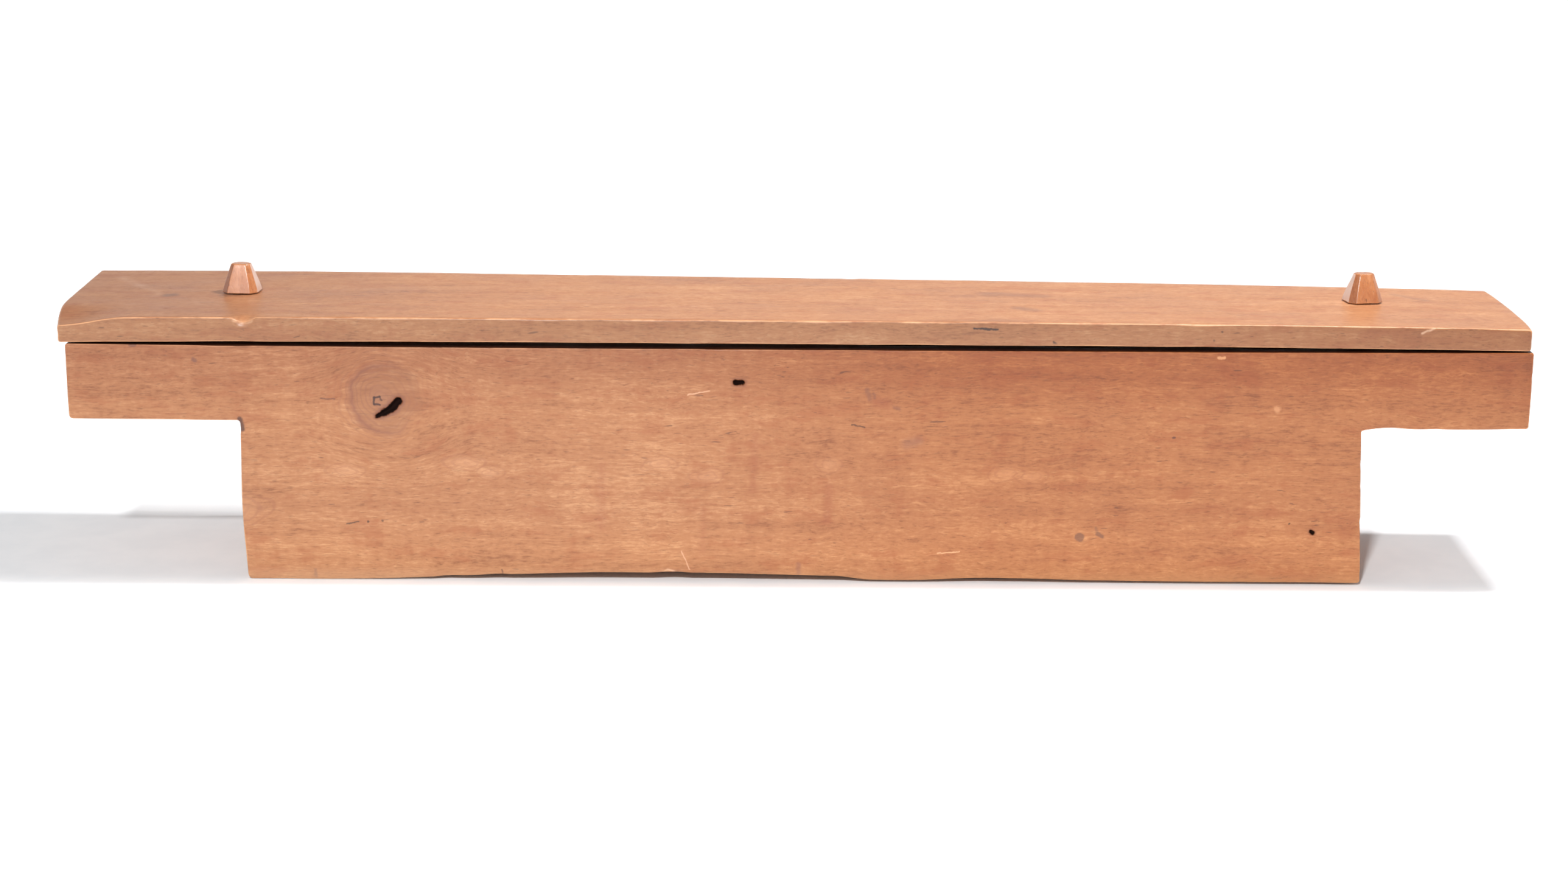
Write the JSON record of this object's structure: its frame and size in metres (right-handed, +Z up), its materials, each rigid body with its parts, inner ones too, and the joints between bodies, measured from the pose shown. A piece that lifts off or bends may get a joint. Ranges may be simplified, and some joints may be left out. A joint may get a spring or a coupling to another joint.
{
  "type": "mancala board",
  "caption": "Hewn hardwood mancala board: a deep block with overhanging ends and carved pits, closed by a plank lid held down with faceted pull-out pegs; seeds lie in the pits.",
  "frame": {"origin": "on the floor, under the middle of the whole object's box", "axes": "+X along the board, towards its shorter-hewn, shallower end; +Y towards the rear; +Z up"},
  "size_m": [0.9082, 0.1437, 0.1859],
  "materials": {
    "board_wood": "satin varnish over hewn reddish-brown hardwood, worn along its edges",
    "lid_wood": "satin varnish over planed reddish-tan hardwood, duller on its edges",
    "peg_wood": "glossy, handled reddish hardwood with knife-cut facets",
    "seed": "smooth, slightly glossy grey seed coat"
  },
  "bodies": {
    "board": {"board": "board_wood", "seed_front_1_1": "seed", "seed_front_1_2": "seed", "seed_front_1_3": "seed", "seed_front_1_4": "seed", "seed_front_2_1": "seed", "seed_front_2_2": "seed", "seed_front_2_3": "seed", "seed_front_2_4": "seed", "seed_front_3_1": "seed", "seed_front_3_2": "seed", "seed_front_3_3": "seed", "seed_front_3_4": "seed", "seed_front_4_1": "seed", "seed_front_4_2": "seed", "seed_front_4_3": "seed", "seed_front_4_4": "seed", "seed_front_5_1": "seed", "seed_front_5_2": "seed", "seed_front_5_3": "seed", "seed_front_5_4": "seed", "seed_front_6_1": "seed", "seed_front_6_2": "seed", "seed_front_6_3": "seed", "seed_front_6_4": "seed", "seed_rear_1_1": "seed", "seed_rear_1_2": "seed", "seed_rear_1_3": "seed", "seed_rear_1_4": "seed", "seed_rear_2_1": "seed", "seed_rear_2_2": "seed", "seed_rear_2_3": "seed", "seed_rear_2_4": "seed", "seed_rear_3_1": "seed", "seed_rear_3_2": "seed", "seed_rear_3_3": "seed", "seed_rear_3_4": "seed", "seed_rear_4_1": "seed", "seed_rear_4_2": "seed", "seed_rear_4_3": "seed", "seed_rear_4_4": "seed", "seed_rear_5_1": "seed", "seed_rear_5_2": "seed", "seed_rear_5_3": "seed", "seed_rear_5_4": "seed", "seed_rear_6_1": "seed", "seed_rear_6_2": "seed", "seed_rear_6_3": "seed", "seed_rear_6_4": "seed"},
    "lid": {"lid": "lid_wood"},
    "peg_left": {"peg_left": "peg_wood"},
    "peg_right": {"peg_right": "peg_wood"}
  },
  "joints": [
    {"name": "lid_lift", "type": "slide", "parent": "board", "child": "lid", "axis": [0, 0, 1], "range_m": [0, 0.15]},
    {"name": "peg_left_pull", "type": "slide", "parent": "lid", "child": "peg_left", "axis": [0, 0, 1], "range_m": [0, 0.07]},
    {"name": "peg_right_pull", "type": "slide", "parent": "lid", "child": "peg_right", "axis": [0, 0, 1], "range_m": [0, 0.07]}
  ]
}
